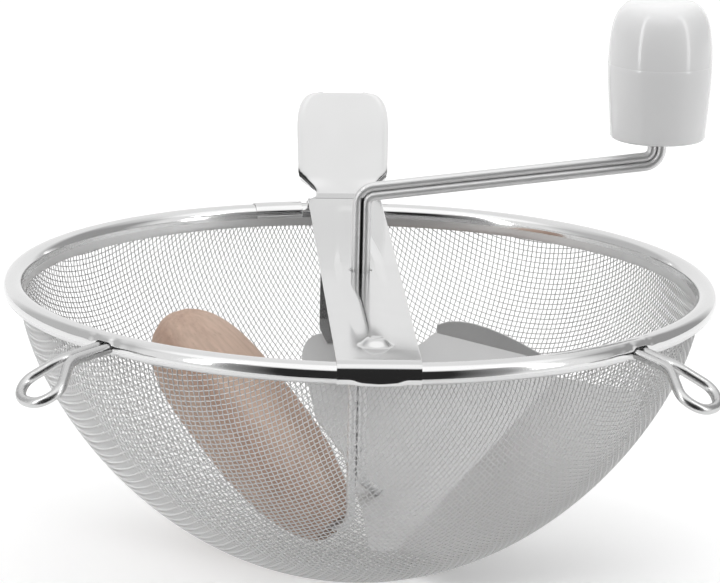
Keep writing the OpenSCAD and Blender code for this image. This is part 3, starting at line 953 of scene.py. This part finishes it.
# %% Corners of the crank
crank_r = 1.4
pair = crank_r - 0.02
arm_rise, arm_reach, arm_z = math.radians(7), 86.3, 34.5
hairpin_top = 81.9
axle_way = np.array(axle)
leg_corner = np.array([-pair, 0, -74.7])
leg_reach = 5.5 * math.tan(math.acos(-axle_way[2]) / 2)
foot_corner = np.array([pair, 0, -52.8])
foot_way = unit([6.9, 11.9, -8.2])

def arm_corner(s, far):
    """Where the arm meets the shaft, or at its far end the knob. s is 1 or -1 for each wire."""
    k = 1 + math.sin(arm_rise)
    aside = np.array([-k, 0, math.cos(arm_rise)]) / k
    middle = [arm_reach, 0, arm_z + arm_reach * math.tan(arm_rise)] if far else [0, 0, arm_z]
    return np.array(middle) + s * pair * aside

print("the arm's upper corner is at", np.round(arm_corner(1, True), 1).tolist(), "mm")

# %% Crank wire
def even(path, step):
    """The path again with points at most a step apart on its straights."""
    out = [path[0]]
    for a, b in zip(path, path[1:]):
        n = max(1, int(np.linalg.norm(b - a) / step))
        out += [a + (b - a) * t for t in np.linspace(0, 1, n + 1)[1:]]
    return np.array(out)

top = [np.array([arm_reach + s * pair, 0, hairpin_top + pair]) for s in (-1, 1)]
first_wire = [leg_corner + axle_way * (leg_reach + 65), leg_corner, arm_corner(1, False), arm_corner(1, True)]
second_wire = [arm_corner(-1, True), arm_corner(-1, False), foot_corner, foot_corner + foot_way * 16]
crank_bends = [5.5, 5.5, 2.6, pair - 0.01, pair - 0.01, 5.5, 2.6, 3]
crank_path = bent_path(first_wire + top + second_wire, crank_bends, 14)
crank = tube("crank_wire_bent", even(crank_path, 3), crank_r, 24)
finish(crank, drawn_wire, "crank", "steel_wire", "crank_wire")
print("wire in the crank:", round(float(np.linalg.norm(np.diff(crank_path, axis=0), axis=1).sum())), "mm")

# %% [markdown]
# The second wire's end goes through the scraper blade as a pin. There the wire is squeezed flat
# into an ear, which is wider than the blade's hole, so the blade can't slide along the pin.

# %% Ear of the pin
def squeezed_end(name, at, width, length):
    """A flattened place on the wire, wider across than the wire and thinner through."""
    across = unit(np.cross(foot_way, [0, 0, 1]))
    through = np.cross(across, foot_way)
    points, rings, sides = [], 13, 20
    a = np.linspace(0, 2 * np.pi, sides, endpoint=False)[:, None]
    for t in np.linspace(-1, 1, rings):
        swell = math.sqrt(max(1 - t * t, 0.0))
        wide = np.cos(a) * across * (crank_r * 0.8 + width * swell)
        thin = np.sin(a) * through * (crank_r * 0.9 - 0.25 * swell)
        points.append(foot_corner + foot_way * (at + t * length) + (wide + thin) * (0.35 + 0.65 * swell))
    ear = mesh_object(name, np.vstack(points), ring_faces(rings, sides))
    return finish(ear, drawn_wire, "crank", "steel_wire")

squeezed_end("pin_ear_near", 7.5, 1.1, 1.8)
print("the pin's ear is pressed out")

# %% [markdown]
# ## Knob
# The knob is moulded in two halves that meet at its widest place, where a fine groove shows. It is
# a spun profile: the lower half tapers to a rounded foot, the upper half closes to a low crown.

# %% Knob
knob_r, knob_height, knob_foot = 15.3, 41.0, 51.9

def knob_profile(r, h):
    foot = np.vstack([[[2.95, 7.0], [2.95, 0.35], [3.3, 0]], arc([0.86 * r - 0.2, 1.0], 1.0, -90, -12, 6)])
    low = bezier([[0.925 * r, 4], [0.96 * r, 0.25 * h], [0.995 * r, 0.42 * h], [r, 0.540 * h]], 14)
    seam = [[r - 0.02, 0.5425 * h], [r - 0.08, 0.5445 * h], [r - 0.05, 0.5465 * h]]
    high_guides = [[r - 0.05, 0.550 * h], [0.985 * r, 0.75 * h], [0.94 * r, 0.985 * h], [0.50 * r, 0.99 * h]]
    high = bezier(high_guides, 26)
    crown = [[0.36 * r, 0.997 * h], [0.2 * r, 1.0 * h], [0.01, 1.0 * h]]
    return np.vstack([foot, low, seam, high, crown])

knob = spun("knob_moulding", knob_profile(knob_r, knob_height), (arm_reach, 0, knob_foot), 128)
finish(knob, moulding, "knob", "white_plastic", "knob")
print("knob is", 2 * knob_r, "mm across and", knob_height, "mm high")

# %% [markdown]
# ## Roller, blade and strap
# These three have plain shapes that the solids already give exactly. Making them again would
# add nothing, so they keep their solids and only get finishes: turned beech, satin blade and
# plain strap.

# %% Finish the plain solids
for name, matter in (("roller", wood), ("scraper", satin), ("hub_strap", strap_steel)):
    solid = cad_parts[name]
    solid.data.materials.clear()
    solid.data.materials.append(matter)
    print(name, "wears", matter.name)
